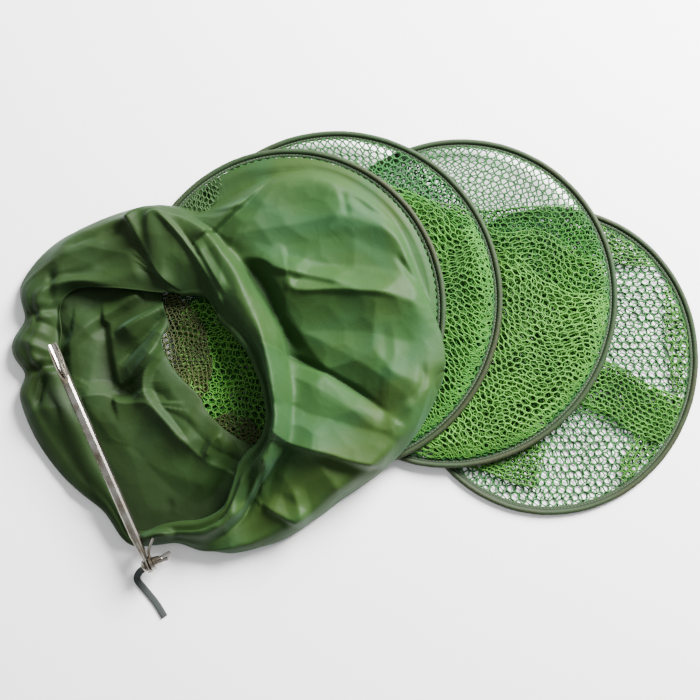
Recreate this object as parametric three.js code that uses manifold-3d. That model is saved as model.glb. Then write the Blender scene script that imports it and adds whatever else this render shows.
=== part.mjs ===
// A folding fish-keeping net, lying collapsed like a fan: four sleeve-bound hoops, three tubes
// of netting between them, a base net, and a cloth collar whose hemmed mouth lies on its side
// with a bank stake clamped to it by a bolt and a wing nut.
// Lengths are in millimetres, Z is up, and the whole thing rests on the plane z = 0.
import * as THREE from 'three';
import Module from 'manifold-3d';

// ---------------------------------------------------------------- driving dimensions
const sleeve = { wide: 9, tall: 5.5, tube: 5.6, seamLow: 1.9, seamHigh: 3.3 };

// Each hoop is slightly oval. `long` and `short` are its half widths at the outer edge, `turn`
// is the direction of the long one, and `low` and `slope` set the plane that it leans in.
const hoops = {
  first: { x: -62, y: 43, long: 164, short: 158, turn: -75, low: 1.5, slope: 0.089 },
  second: { x: -16, y: 51, long: 176, short: 171, turn: -90, low: 0, slope: 0.054 },
  third: { x: 107, y: 49, long: 172, short: 164, turn: 60, low: 0.1, slope: 0.039 },
  fourth: { x: 207, y: -10, long: 159, short: 150, turn: 75, low: 0, slope: 0 },
};

const net = { thick: 1.2, edgeGap: 0.8, tubeLength: 200, wave: 7 };
const cloth = { thick: 1.2, seat: 4.2, clear: 2.2, lift: 7 };
const steps = { hoop: 48, net: 40, collar: 64 };

// The collar is described by upright sections that fan out from the middle of its mouth.
const mouth = { x: -135, y: -22 };

// One row for each section, at an angle in degrees. Each pair is a distance from the middle of
// the mouth and a height: `hem` is the sewn edge, `rim` the crest of the rolled mouth, `dip`
// the valley behind it and `swell` the shoulder before the cloth turns under. `over` is how
// far the turn lies outside the first hoop, and `throat` how far the cloth hangs inside it.
const sections = [
  { at: 0, hem: [50, 40], rim: [74, 64], dip: [94, 42], swell: [205, 47], over: 20, throat: 6 },
  { at: 22, hem: [48, 40], rim: [72, 66], dip: [96, 40], swell: [212, 43], over: -14, throat: 0 },
  { at: 45, hem: [46, 40], rim: [76, 64], dip: [104, 38], swell: [222, 40], over: -14, throat: 0 },
  { at: 67, hem: [48, 38], rim: [87, 58], dip: [120, 36], swell: [204, 34], over: -16, throat: 0 },
  { at: 86, hem: [54, 36], rim: [112, 50], dip: [134, 30], swell: [160, 30], over: -32, throat: 0 },
  { at: 97, hem: [64, 34], rim: [128, 46], dip: [142, 30], swell: [152, 28], over: -24, throat: 0 },
  { at: 106, hem: [76, 32], rim: [144, 42], dip: [156, 34], swell: [164, 28], over: 6, throat: 2 },
  { at: 114, hem: [100, 30], rim: [156, 38], dip: [170, 33], swell: [178, 26], over: 36, throat: 8 },
  { at: 121, hem: [164, 28], rim: [178, 36], dip: [186, 31], swell: [192, 23], over: 60, throat: 20 },
  { at: 135, hem: [162, 22], rim: [184, 28], dip: [198, 24], swell: [205, 17], over: 102, throat: 38 },
  { at: 157, hem: [172, 20], rim: [196, 26], dip: [210, 22], swell: [218, 15], over: 145, throat: 18 },
  { at: 180, hem: [164, 18], rim: [184, 24], dip: [198, 20], swell: [205, 14], over: 148, throat: 18 },
  { at: 202, hem: [158, 18], rim: [176, 22], dip: [187, 19], swell: [192, 14], over: 143, throat: 20 },
  { at: 225, hem: [148, 17], rim: [166, 19], dip: [177, 17], swell: [182, 12], over: 133, throat: 22 },
  { at: 244, hem: [162, 12], rim: [176, 14], dip: [188, 12], swell: [194, 9], over: 140, throat: 22 },
  { at: 262, hem: [146, 22], rim: [160, 24], dip: [170, 20], swell: [174, 13], over: 112, throat: 18 },
  { at: 275, hem: [130, 34], rim: [156, 38], dip: [170, 30], swell: [180, 19], over: 115, throat: 16 },
  { at: 292, hem: [92, 42], rim: [128, 54], dip: [150, 44], swell: [174, 27], over: 95, throat: 12 },
  { at: 315, hem: [72, 46], rim: [96, 64], dip: [118, 50], swell: [172, 38], over: 58, throat: 14 },
  { at: 330, hem: [60, 44], rim: [84, 66], dip: [104, 48], swell: [184, 44], over: 44, throat: 12 },
  { at: 345, hem: [54, 42], rim: [78, 66], dip: [98, 44], swell: [202, 48], over: 32, throat: 8 },
];

// Places where the rolled mouth is drawn in: an angle, a depth and a half width in degrees.
const pinches = [
  { at: 165, deep: 13, wide: 5 },
  { at: 181, deep: 11, wide: 4 },
  { at: 232, deep: 5, wide: 6 },
];

// Straight folds of the cloth, from one plan point to another, each with its half width and
// its height, which is below nought for a crease. `sheet` says which layer of the collar it is on.
const folds = [
  { sheet: 'top', from: [-111, 116], to: [-10, 131], wide: 16, high: 7 },
  { sheet: 'top', from: [-81, 86], to: [-51, 61], wide: 14, high: 7 },
  { sheet: 'top', from: [-51, 61], to: [91, 51], wide: 17, high: 8 },
  { sheet: 'top', from: [-51, -12], to: [34, -65], wide: 18, high: 9 },
  { sheet: 'top', from: [34, -65], to: [56, -103], wide: 14, high: 7 },
  { sheet: 'top', from: [-51, -96], to: [22, -117], wide: 14, high: 6 },
  { sheet: 'top', from: [-58, 186], to: [-140, 115], wide: 14, high: 8 },
  { sheet: 'top', from: [-86, -157], to: [-45, -176], wide: 14, high: 6 },
  { sheet: 'low', from: [-278, 66], to: [-217, 100], wide: 14, high: 6 },
  { sheet: 'low', from: [-278, 66], to: [-184, 56], wide: 13, high: 8 },
  { sheet: 'low', from: [-290, 20], to: [-184, 40], wide: 13, high: 6 },
  { sheet: 'low', from: [-234, -42], to: [-193, 5], wide: 13, high: 7 },
  { sheet: 'low', from: [-270, 0], to: [-247, -45], wide: 14, high: 4 },
  { sheet: 'low', from: [-247, -48], to: [-207, -56], wide: 14, high: 6 },
  { sheet: 'low', from: [-207, -56], to: [-130, -121], wide: 15, high: 8 },
];

const stake = { wide: 11, wall: 1, long: 240, flat: 5, tip: 46, round: 32, lean: 4 };
const bolt = { x: -201, y: -216, z: 21, turn: 23.9, wide: 6, hole: 6.6, head: 12 };
const nut = { hub: 10, long: 7, wing: 16, spread: 9, thick: 2.4, turn: 15 };
const eye = { wide: 15, thick: 3, wire: 3 };
const strap = { wide: 7, thick: 1.6 };
const gap = 0.3;

const deg = Math.PI / 180;

const wasm = await Module();
wasm.setup();

// ---------------------------------------------------------------- mesh helpers
// Builds a closed ring from stations, each a closed loop of points in the same order.
function ringOf(stations) {
  const count = stations.length;
  const around = stations[0].length;
  const points = stations.flat().flatMap((p) => [p.x, p.y, p.z]);
  const faces = [];
  for (let i = 0; i < count; i += 1) {
    for (let j = 0; j < around; j += 1) {
      const a = i * around + j;
      const b = i * around + ((j + 1) % around);
      const c = ((i + 1) % count) * around + ((j + 1) % around);
      const d = ((i + 1) % count) * around + j;
      faces.push(a, b, c, a, c, d);
    }
  }
  return facingOut(points, faces);
}

// Builds a closed bar from the same kind of loops, with a flat cap on each end.
function barOf(loops) {
  const around = loops[0].length;
  const points = loops.flat().flatMap((p) => [p.x, p.y, p.z]);
  const faces = [];
  for (let i = 0; i + 1 < loops.length; i += 1) {
    for (let j = 0; j < around; j += 1) {
      const a = i * around + j;
      const b = i * around + ((j + 1) % around);
      faces.push(a, b, b + around, a, b + around, a + around);
    }
  }
  const last = (loops.length - 1) * around;
  for (let j = 1; j + 1 < around; j += 1) {
    faces.push(0, j + 1, j);
    faces.push(last, last + j, last + j + 1);
  }
  return facingOut(points, faces);
}

// Makes a geometry and turns all its faces over if they enclose a negative volume.
function facingOut(points, faces) {
  let volume = 0;
  const corner = (i) => new THREE.Vector3(points[3 * i], points[3 * i + 1], points[3 * i + 2]);
  for (let i = 0; i < faces.length; i += 3) {
    const side = corner(faces[i + 1]).cross(corner(faces[i + 2]));
    volume += corner(faces[i]).dot(side);
  }
  const index = volume < 0 ? faces.slice().reverse() : faces;
  const geometry = new THREE.BufferGeometry();
  geometry.setAttribute('position', new THREE.Float32BufferAttribute(points, 3));
  geometry.setIndex(index);
  geometry.computeVertexNormals();
  return geometry;
}

// Gives a grid of middle points (stations around, points along) an even thickness.
function thickened(grid, thick) {
  const count = grid.length;
  const along = grid[0].length;
  const stations = grid.map((row, i) => {
    const before = grid[(i + count - 1) % count];
    const after = grid[(i + 1) % count];
    const upper = [];
    const lower = [];
    row.forEach((point, j) => {
      const run = row[Math.min(j + 1, along - 1)].clone().sub(row[Math.max(j - 1, 0)]);
      const across = after[j].clone().sub(before[j]);
      const normal = across.cross(run).normalize().multiplyScalar(thick / 2);
      upper.push(point.clone().add(normal));
      lower.push(point.clone().sub(normal));
    });
    return upper.concat(lower.reverse());
  });
  return ringOf(stations);
}

function solidOf(geometry) {
  const vertProperties = new Float32Array(geometry.getAttribute('position').array);
  const triVerts = new Uint32Array(geometry.getIndex().array);
  return new wasm.Manifold(new wasm.Mesh({ numProp: 3, vertProperties, triVerts }));
}

function geometryOf(solid) {
  const mesh = solid.getMesh();
  return facingOut(Array.from(mesh.vertProperties), Array.from(mesh.triVerts));
}

// A round bar along X, built from rings of [x, radius].
function roundBar(rings, sides) {
  return barOf(rings.map(([x, radius]) => {
    return Array.from({ length: sides }, (_, k) => {
      const angle = (2 * Math.PI * k) / sides;
      return new THREE.Vector3(x, radius * Math.cos(angle), radius * Math.sin(angle));
    });
  }));
}

// ---------------------------------------------------------------- hoops and their planes
function planeAt(hoop, x) {
  return hoop.low + hoop.slope * (x - (hoop.x - hoop.short));
}

// The distance from a hoop's middle to its outer edge in one direction.
function reachOf(hoop, angle) {
  const off = angle - hoop.turn * deg;
  return 1 / Math.hypot(Math.cos(off) / hoop.long, Math.sin(off) / hoop.short);
}

function hoopPoint(hoop, angle, inset, height) {
  const reach = reachOf(hoop, angle) - inset;
  const x = hoop.x + reach * Math.cos(angle);
  const y = hoop.y + reach * Math.sin(angle);
  return new THREE.Vector3(x, y, planeAt(hoop, x) + height);
}

// A sleeve is a round tube of cloth over the hoop, with its sewn seam as a flat inner flange.
function hoopGeometry(hoop) {
  const { wide, tall, tube, seamLow, seamHigh } = sleeve;
  const outline = [
    [tube - 1.4, 0], [1.6, 0], [0, 1.7], [0, tall - 1.7], [1.6, tall], [tube - 1.4, tall],
    [tube, seamHigh], [wide, seamHigh], [wide, seamLow], [tube, seamLow],
  ];
  return ringOf(Array.from({ length: steps.hoop }, (_, i) => {
    const angle = (2 * Math.PI * i) / steps.hoop;
    return outline.map(([inset, height]) => hoopPoint(hoop, angle, inset, height));
  }));
}

// ---------------------------------------------------------------- netting
// A tube of netting between two hoops. It runs inward from the lower hoop to a fold that rings
// the middle, then outward again over itself to the upper hoop.
function netTube(lower, upper, lowerSeat) {
  const inset = sleeve.wide + net.edgeGap;
  const upperSeat = (sleeve.seamLow + sleeve.seamHigh) / 2;
  const middleX = (lower.x + upper.x) / 2;
  const middleY = (lower.y + upper.y) / 2;
  const grid = Array.from({ length: steps.net }, (_, i) => {
    const angle = (2 * Math.PI * i) / steps.net;
    const start = hoopPoint(lower, angle, inset, lowerSeat);
    const end = hoopPoint(upper, angle, inset, upperSeat);
    const mean = (reachOf(lower, angle) + reachOf(upper, angle)) / 2 - inset;
    const ring = mean - net.tubeLength / 2 + net.wave * Math.sin(5 * angle + lower.x);
    const foldX = middleX + ring * Math.cos(angle);
    const foldY = middleY + ring * Math.sin(angle);
    const lowZ = planeAt(lower, foldX) + lowerSeat;
    const highZ = planeAt(upper, foldX) + upperSeat;
    const turn = (highZ - lowZ) / 2;
    const foldAt = (inward, z) => {
      const reach = ring - inward;
      return new THREE.Vector3(middleX + reach * Math.cos(angle), middleY + reach * Math.sin(angle), z);
    };
    return [
      start,
      foldAt(0, lowZ),
      foldAt(turn * 0.8, lowZ + turn * 0.45),
      foldAt(turn * 0.8, highZ - turn * 0.45),
      foldAt(0, highZ),
      end,
    ];
  });
  return thickened(grid, net.thick);
}

// The base is one flat piece of netting that fills the fourth hoop.
function baseNet() {
  const inset = sleeve.wide + net.edgeGap;
  const outline = Array.from({ length: steps.hoop }, (_, i) => {
    return hoopPoint(hoops.fourth, (2 * Math.PI * i) / steps.hoop, inset, 0);
  });
  const shape = new THREE.Shape(outline.map((p) => new THREE.Vector2(p.x, p.y)));
  return new THREE.ExtrudeGeometry(shape, { depth: net.thick, bevelEnabled: false });
}

// ---------------------------------------------------------------- collar
// The height of whatever lies under the collar, with wide shoulders over each hoop.
function groundAt(x, y) {
  const shoulder = 16;
  let height = 0;
  for (const hoop of [hoops.first, hoops.second, hoops.third]) {
    const angle = Math.atan2(y - hoop.y, x - hoop.x);
    const off = Math.hypot(x - hoop.x, y - hoop.y) - (reachOf(hoop, angle) - sleeve.wide / 2);
    if (Math.abs(off) < shoulder) height = Math.max(height, planeAt(hoop, x) + sleeve.tall);
    else if (off < 0) height = Math.max(height, planeAt(hoop, x) + (hoop === hoops.first ? 3.3 : 5));
  }
  return height;
}

// The distance from the middle of the mouth to the first hoop's seam, in one direction.
function seamReach(angle) {
  const hoop = hoops.first;
  let near = 0;
  let far = 400;
  for (let i = 0; i < 40; i += 1) {
    const reach = (near + far) / 2;
    const x = mouth.x + reach * Math.cos(angle) - hoop.x;
    const y = mouth.y + reach * Math.sin(angle) - hoop.y;
    const edge = reachOf(hoop, Math.atan2(y, x)) - sleeve.wide - net.edgeGap;
    if (Math.hypot(x, y) < edge) near = reach;
    else far = reach;
  }
  return near;
}

// A smooth value between b and c, with a and d as their outer neighbours.
function smooth(a, b, c, d, t) {
  const run = (c - a) / 2;
  const out = (d - b) / 2;
  const t2 = t * t;
  const t3 = t2 * t;
  return b * (2 * t3 - 3 * t2 + 1) + c * (3 * t2 - 2 * t3) + run * (t3 - 2 * t2 + t) + out * (t3 - t2);
}

// The section at any angle, blended from the rows of the table.
function sectionAt(degrees) {
  const count = sections.length;
  let first = count - 1;
  while (first > 0 && sections[first].at > degrees) first -= 1;
  const rows = [-1, 0, 1, 2].map((k) => sections[(first + k + count) % count]);
  const next = rows[2].at > rows[1].at ? rows[2].at : rows[2].at + 360;
  const t = (degrees - rows[1].at) / (next - rows[1].at);
  const blend = (read) => smooth(...rows.map(read), t);
  const pair = (name) => [blend((row) => row[name][0]), blend((row) => row[name][1])];
  return {
    hem: pair('hem'),
    rim: pair('rim'),
    dip: pair('dip'),
    swell: pair('swell'),
    over: blend((row) => row.over),
    throat: Math.max(9, blend((row) => row.throat)),
  };
}

function pinchAt(degrees) {
  return pinches.reduce((sum, { at, deep, wide }) => {
    return sum + deep * Math.exp(-(((degrees - at) / wide) ** 2));
  }, 0);
}

// How much the folds of one layer raise the cloth at a plan point.
function foldHeight(sheet, x, y) {
  let height = 0;
  for (const fold of folds.filter((row) => row.sheet === sheet)) {
    const [x1, y1] = fold.from;
    const [x2, y2] = fold.to;
    const length = Math.hypot(x2 - x1, y2 - y1);
    const along = ((x - x1) * (x2 - x1) + (y - y1) * (y2 - y1)) / length;
    const near = Math.min(Math.max(along, 0), length);
    const dx = x - (x1 + ((x2 - x1) * near) / length);
    const dy = y - (y1 + ((y2 - y1) * near) / length);
    height += fold.high * Math.max(0, 1 - Math.hypot(dx, dy) / fold.wide);
  }
  return height;
}

// One upright section of the collar: over the top from the hem to the turn, then back
// underneath, over the first hoop, to the seam.
function collarSection(degrees) {
  const angle = degrees * deg;
  const row = sectionAt(degrees);
  const pinch = pinchAt(degrees);
  const seam = seamReach(angle);
  const turnReach = seam + row.over - pinch;
  const at = (reach, rise) => {
    const x = mouth.x + reach * Math.cos(angle);
    const y = mouth.y + reach * Math.sin(angle);
    return new THREE.Vector3(x, y, rise(x, y));
  };
  const topPoint = ([reach, z], drawn) => at(reach - pinch * drawn, (x, y) => z + foldHeight('top', x, y));
  const between = (a, b, t) => [a[0] + (b[0] - a[0]) * t, a[1] + (b[1] - a[1]) * t];
  const crown = (a, b, t, up) => [between(a, b, t)[0], between(a, b, t)[1] + up];
  const bulge = Math.min(3, (row.swell[0] - row.dip[0]) / 20);
  const points = [
    topPoint(row.hem, 0.3),
    topPoint(crown(row.hem, row.rim, 0.5, 3), 0.5),
    topPoint(row.rim, 0.7),
    topPoint(crown(row.rim, row.dip, 0.6, -1), 0.8),
    topPoint(row.dip, 0.9),
    topPoint(crown(row.dip, row.swell, 0.25, bulge), 1),
    topPoint(crown(row.dip, row.swell, 0.5, bulge), 1),
    topPoint(crown(row.dip, row.swell, 0.75, bulge), 1),
    topPoint(row.swell, 1),
  ];
  const turnZ = (x, y) => groundAt(x, y) + cloth.clear + (row.over > 0 ? 3 : 4);
  points.push(at(turnReach, turnZ));
  const back = [0.86, 0.68, 0.5, 0.32, 0.16, 0.04, 0, 0];
  const inward = [0.06, 0.14, 0.24, 0.36, 0.5, 0.72, 1, 0.55];
  back.forEach((share, k) => {
    const reach = seam + share * (turnReach - seam) - inward[k] * row.throat;
    const window = Math.sin((Math.PI * (k + 1)) / 9);
    points.push(at(reach, (x, y) => {
      const lift = row.over > 60 ? cloth.lift * window * (row.over - 60) / 80 : 0;
      return groundAt(x, y) + cloth.clear + lift + window * foldHeight('low', x, y);
    }));
  });
  points.push(at(seam, (x) => planeAt(hoops.first, x) + cloth.seat));
  return points;
}

function collarGeometry() {
  const grid = Array.from({ length: steps.collar }, (_, i) => collarSection((360 * i) / steps.collar));
  return thickened(grid, cloth.thick);
}

// ---------------------------------------------------------------- stake and its clamp
// The stake is a tube along +Y, pressed flat where it is bolted and cut to a long scoop at its tip.
function stakeGeometry() {
  const sides = 16;
  const loop = (y, halfX, halfZ) => Array.from({ length: sides }, (_, k) => {
    const angle = (2 * Math.PI * k) / sides;
    return new THREE.Vector3(halfX * Math.cos(angle), y, halfZ * Math.sin(angle));
  });
  const half = stake.wide / 2;
  const tab = stake.flat / 2;
  const body = solidOf(barOf([
    loop(-8, tab, 4), loop(-5, tab, 6.4), loop(8, tab, 6.4), loop(stake.round, half, half),
    loop(stake.long, half, half),
  ]));
  const inner = half - stake.wall;
  const bore = solidOf(barOf([loop(stake.round, inner, inner), loop(stake.long + 1, inner, inner)]));
  const cutHalf = stake.wide;
  const low = -half + 2.2;
  const wedge = [
    [stake.long - stake.tip, half + 0.5], [stake.long + 2, low], [stake.long + 2, half + 6],
    [stake.long - stake.tip, half + 6],
  ];
  const side = (x) => wedge.map(([y, z]) => new THREE.Vector3(x, y, z));
  const scoop = solidOf(barOf([side(-cutHalf), side(cutHalf)]));
  const hole = solidOf(roundBar([[-6, bolt.hole / 2], [6, bolt.hole / 2]], 16));
  return geometryOf(body.subtract(bore).subtract(scoop).subtract(hole));
}

// The bolt has a domed head on one side of the stake, and its thread ends inside the nut.
function boltGeometry() {
  const head = bolt.head / 2;
  const shank = bolt.wide / 2;
  const face = -stake.flat / 2 - gap;
  const end = stake.flat / 2 + eye.thick + 2 * gap + nut.long + 3;
  return roundBar([
    [face - 3.6, head * 0.45], [face - 2.4, head * 0.85], [face - 0.8, head], [face, head],
    [face + 0.01, shank], [end - 0.8, shank], [end, shank * 0.75],
  ], 16);
}

// The end of the mouth's wire is flattened into an eye, which the bolt passes through.
function eyeGeometry() {
  const start = stake.flat / 2 + gap;
  const radius = eye.wide / 2;
  const ring = solidOf(roundBar([[start, radius], [start + eye.thick, radius]], 20));
  const hole = solidOf(roundBar([[start - 1, bolt.hole / 2], [start + eye.thick + 1, bolt.hole / 2]], 16));
  const route = new THREE.CatmullRomCurve3([
    new THREE.Vector3(start + 1.5, radius - 2.5, 0),
    new THREE.Vector3(start + 2.4, radius + 3, 0.6),
    new THREE.Vector3(start + 7, radius + 9, 1.4),
    new THREE.Vector3(start + 13, radius + 15, 2),
  ]);
  const section = new THREE.Shape(Array.from({ length: 8 }, (_, k) => {
    const angle = (2 * Math.PI * k) / 8;
    return new THREE.Vector2((eye.wire / 2) * Math.cos(angle), (eye.wire / 2) * Math.sin(angle));
  }));
  const tail = new THREE.ExtrudeGeometry(section, { steps: 8, extrudePath: route });
  return geometryOf(ring.add(solidOf(welded(tail))).subtract(hole));
}

// Joins the doubled corners of an extrusion, so that it counts as one closed mesh.
function welded(geometry) {
  const position = geometry.getAttribute('position');
  const places = new Map();
  const points = [];
  const faces = [];
  for (let i = 0; i < position.count; i += 1) {
    const p = [position.getX(i), position.getY(i), position.getZ(i)];
    const key = p.map((v) => Math.round(v * 1e4)).join(',');
    if (!places.has(key)) {
      places.set(key, points.length / 3);
      points.push(...p);
    }
    faces.push(places.get(key));
  }
  return facingOut(points, faces);
}

// The wing nut's two wings stand out along the bolt, away from the stake.
function nutGeometry() {
  const start = stake.flat / 2 + eye.thick + 2 * gap;
  const hub = nut.hub / 2;
  const end = start + nut.long;
  const barrel = solidOf(roundBar([[start, hub], [start + 2, hub], [end, hub * 0.82]], 16));
  const outline = [
    [start + 1.5, hub - 1.6], [start + 3, hub + 0.8], [start + nut.wing, nut.spread + 1.5],
    [start + nut.wing + 2, nut.spread - 1], [start + nut.wing - 1, nut.spread - 3.4],
    [end, hub * 0.72],
  ];
  const wing = (sign) => solidOf(barOf([-nut.thick / 2, nut.thick / 2].map((y) => {
    return outline.map(([x, z]) => new THREE.Vector3(x, y, sign * z));
  })));
  const hole = solidOf(roundBar([[start - 1, bolt.hole / 2], [end + 4, bolt.hole / 2]], 16));
  return geometryOf(barrel.add(wing(1)).add(wing(-1)).subtract(hole));
}

// ---------------------------------------------------------------- strap
// A short flat carrying tape comes from under the bolted end and lies on the ground.
function strapGeometry() {
  const half = strap.thick / 2;
  const rest = half + 0.25;
  const route = new THREE.CatmullRomCurve3([
    new THREE.Vector3(-205, -220, 9), new THREE.Vector3(-212, -225, 5),
    new THREE.Vector3(-215, -233, rest + 0.4), new THREE.Vector3(-207, -243, rest),
    new THREE.Vector3(-196, -256, rest), new THREE.Vector3(-187, -270, rest),
  ]);
  const count = 14;
  const loops = Array.from({ length: count + 1 }, (_, i) => {
    const point = route.getPointAt(i / count);
    const ahead = route.getTangentAt(i / count);
    const side = new THREE.Vector3(-ahead.y, ahead.x, 0).normalize().multiplyScalar(strap.wide / 2);
    const up = ahead.clone().cross(side).normalize().multiplyScalar(half);
    return [
      point.clone().add(side).add(up), point.clone().sub(side).add(up),
      point.clone().sub(side).sub(up), point.clone().add(side).sub(up),
    ];
  });
  return barOf(loops);
}

// ---------------------------------------------------------------- the whole net
const finish = {
  sleeve: new THREE.MeshStandardMaterial({ color: 0x566f4e, roughness: 0.7, metalness: 0 }),
  netting: new THREE.MeshStandardMaterial({ color: 0x74b050, roughness: 0.6, metalness: 0 }),
  cloth: new THREE.MeshStandardMaterial({ color: 0x5a7d4c, roughness: 0.45, metalness: 0 }),
  steel: new THREE.MeshStandardMaterial({ color: 0xb9b6ad, roughness: 0.2, metalness: 1 }),
  tape: new THREE.MeshStandardMaterial({ color: 0x1c2221, roughness: 0.8, metalness: 0 }),
};

const keepnet = new THREE.Group();

function place(parent, name, geometry, material) {
  const mesh = new THREE.Mesh(geometry, material.clone());
  mesh.name = name;
  parent.add(mesh);
  return mesh;
}

place(keepnet, 'hoop_1', hoopGeometry(hoops.first), finish.sleeve);
place(keepnet, 'hoop_2', hoopGeometry(hoops.second), finish.sleeve);
place(keepnet, 'hoop_3', hoopGeometry(hoops.third), finish.sleeve);
place(keepnet, 'hoop_4', hoopGeometry(hoops.fourth), finish.sleeve);
place(keepnet, 'base_net', baseNet(), finish.netting);
place(keepnet, 'net_3_4', netTube(hoops.fourth, hoops.third, 2.2), finish.netting);
place(keepnet, 'net_2_3', netTube(hoops.third, hoops.second, cloth.seat), finish.netting);
place(keepnet, 'net_1_2', netTube(hoops.second, hoops.first, cloth.seat), finish.netting);
place(keepnet, 'collar', collarGeometry(), finish.cloth);
place(keepnet, 'strap', strapGeometry(), finish.tape);

const clamp = new THREE.Group();
clamp.position.set(bolt.x, bolt.y, bolt.z);
clamp.rotation.z = bolt.turn * deg;
keepnet.add(clamp);
place(clamp, 'bolt', boltGeometry(), finish.steel);
place(clamp, 'wire_eye', eyeGeometry(), finish.steel);
place(clamp, 'wing_nut', nutGeometry(), finish.steel).rotation.x = nut.turn * deg;
place(clamp, 'stake', stakeGeometry(), finish.steel).rotation.x = stake.lean * deg;

// The origin is the middle of the footprint without the loose strap, on the ground.
keepnet.updateMatrixWorld(true);
const box = new THREE.Box3();
keepnet.traverse((item) => {
  if (item.isMesh && item.name !== 'strap') box.expandByObject(item, true);
});
keepnet.position.set(-(box.min.x + box.max.x) / 2, -(box.min.y + box.max.y) / 2, -box.min.z);

export default keepnet;
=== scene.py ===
import math

import bmesh
import bpy
import numpy as np
from mathutils import Matrix, Vector, noise


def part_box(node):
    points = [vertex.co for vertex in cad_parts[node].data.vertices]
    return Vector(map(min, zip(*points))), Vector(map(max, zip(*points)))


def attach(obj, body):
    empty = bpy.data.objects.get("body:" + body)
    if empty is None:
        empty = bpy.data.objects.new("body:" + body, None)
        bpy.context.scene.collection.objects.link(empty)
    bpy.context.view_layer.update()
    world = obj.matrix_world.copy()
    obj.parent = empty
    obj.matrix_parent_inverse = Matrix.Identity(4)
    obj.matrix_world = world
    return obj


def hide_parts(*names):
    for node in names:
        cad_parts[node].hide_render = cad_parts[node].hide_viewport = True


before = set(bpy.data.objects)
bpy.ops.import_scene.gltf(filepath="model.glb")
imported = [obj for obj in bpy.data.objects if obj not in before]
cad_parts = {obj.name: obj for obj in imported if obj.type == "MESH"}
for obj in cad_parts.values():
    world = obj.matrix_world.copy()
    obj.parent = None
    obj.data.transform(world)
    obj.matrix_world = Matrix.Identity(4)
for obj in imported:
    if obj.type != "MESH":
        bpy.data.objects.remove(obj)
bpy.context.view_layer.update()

noise.seed_set(1)  # noise_vector starts from the clock otherwise, and each run would differ
print("stage: frame loaded")

# Plan sizes below are in millimetres, in the maker's own layout. The hoop at the far end of the
# fan fixes where that layout lies in the frame.
mm = 0.001

hoops = {
    "hoop_1": {"x": -62, "y": 43, "long": 164, "short": 158, "turn": -75, "low": 1.5, "slope": 0.089},
    "hoop_2": {"x": -16, "y": 51, "long": 176, "short": 171, "turn": -90, "low": 0.0, "slope": 0.054},
    "hoop_3": {"x": 107, "y": 49, "long": 172, "short": 164, "turn": 60, "low": 0.1, "slope": 0.039},
    "hoop_4": {"x": 207, "y": -10, "long": 159, "short": 150, "turn": 75, "low": 0.0, "slope": 0.0},
}

lastLow, lastHigh = (Vector(corner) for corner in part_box("hoop_4"))
layoutShift = (lastLow + lastHigh) / 2 - Vector((hoops["hoop_4"]["x"], hoops["hoop_4"]["y"], 0)) * mm
layoutShift.z = 0


def place(x, y, z):  # layout millimetres to frame metres
    return Vector((x, y, z)) * mm + layoutShift


view = {"elevation": 85, "distance": 1150, "mmPerPixel": 1.03, "pixels": 700, "sensor": 36}

cameraData = bpy.data.cameras.new("viewCamera")
cameraData.sensor_width = view["sensor"]
cameraData.lens = view["distance"] / view["mmPerPixel"] / view["pixels"] * view["sensor"]
camera = bpy.data.objects.new("viewCamera", cameraData)
bpy.context.scene.collection.objects.link(camera)
tiltUp = math.radians(view["elevation"])
camera.location = place(0, -view["distance"] * math.cos(tiltUp), view["distance"] * math.sin(tiltUp))
camera.rotation_euler = (math.pi / 2 - tiltUp, 0, 0)
bpy.context.scene.camera = camera


def newPiece(name, bm, body, material, smooth=True):
    mesh = bpy.data.meshes.new(name)
    bm.to_mesh(mesh)
    bm.free()
    piece = bpy.data.objects.new(name, mesh)
    bpy.context.scene.collection.objects.link(piece)
    mesh.materials.append(material)
    mesh.polygons.foreach_set("use_smooth", [smooth] * len(mesh.polygons))
    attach(piece, body)
    return piece


def smoothStep(low, high, value):
    t = min(max((value - low) / (high - low), 0.0), 1.0)
    return t * t * (3 - 2 * t)


class Wire:  # one socket, on which sums are written as plain expressions
    def __init__(self, graph, socket):
        self.graph = graph
        self.socket = socket

    def sum(self, operation, other, swap=False):
        pair = (other, self) if swap else (self, other)
        return self.graph.node("ShaderNodeMath", {"operation": operation}, {0: pair[0], 1: pair[1]})

    def __add__(self, other):
        return self.sum("ADD", other)

    def __radd__(self, other):
        return self.sum("ADD", other, True)

    def __sub__(self, other):
        return self.sum("SUBTRACT", other)

    def __rsub__(self, other):
        return self.sum("SUBTRACT", other, True)

    def __mul__(self, other):
        return self.sum("MULTIPLY", other)

    def __rmul__(self, other):
        return self.sum("MULTIPLY", other, True)


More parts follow.
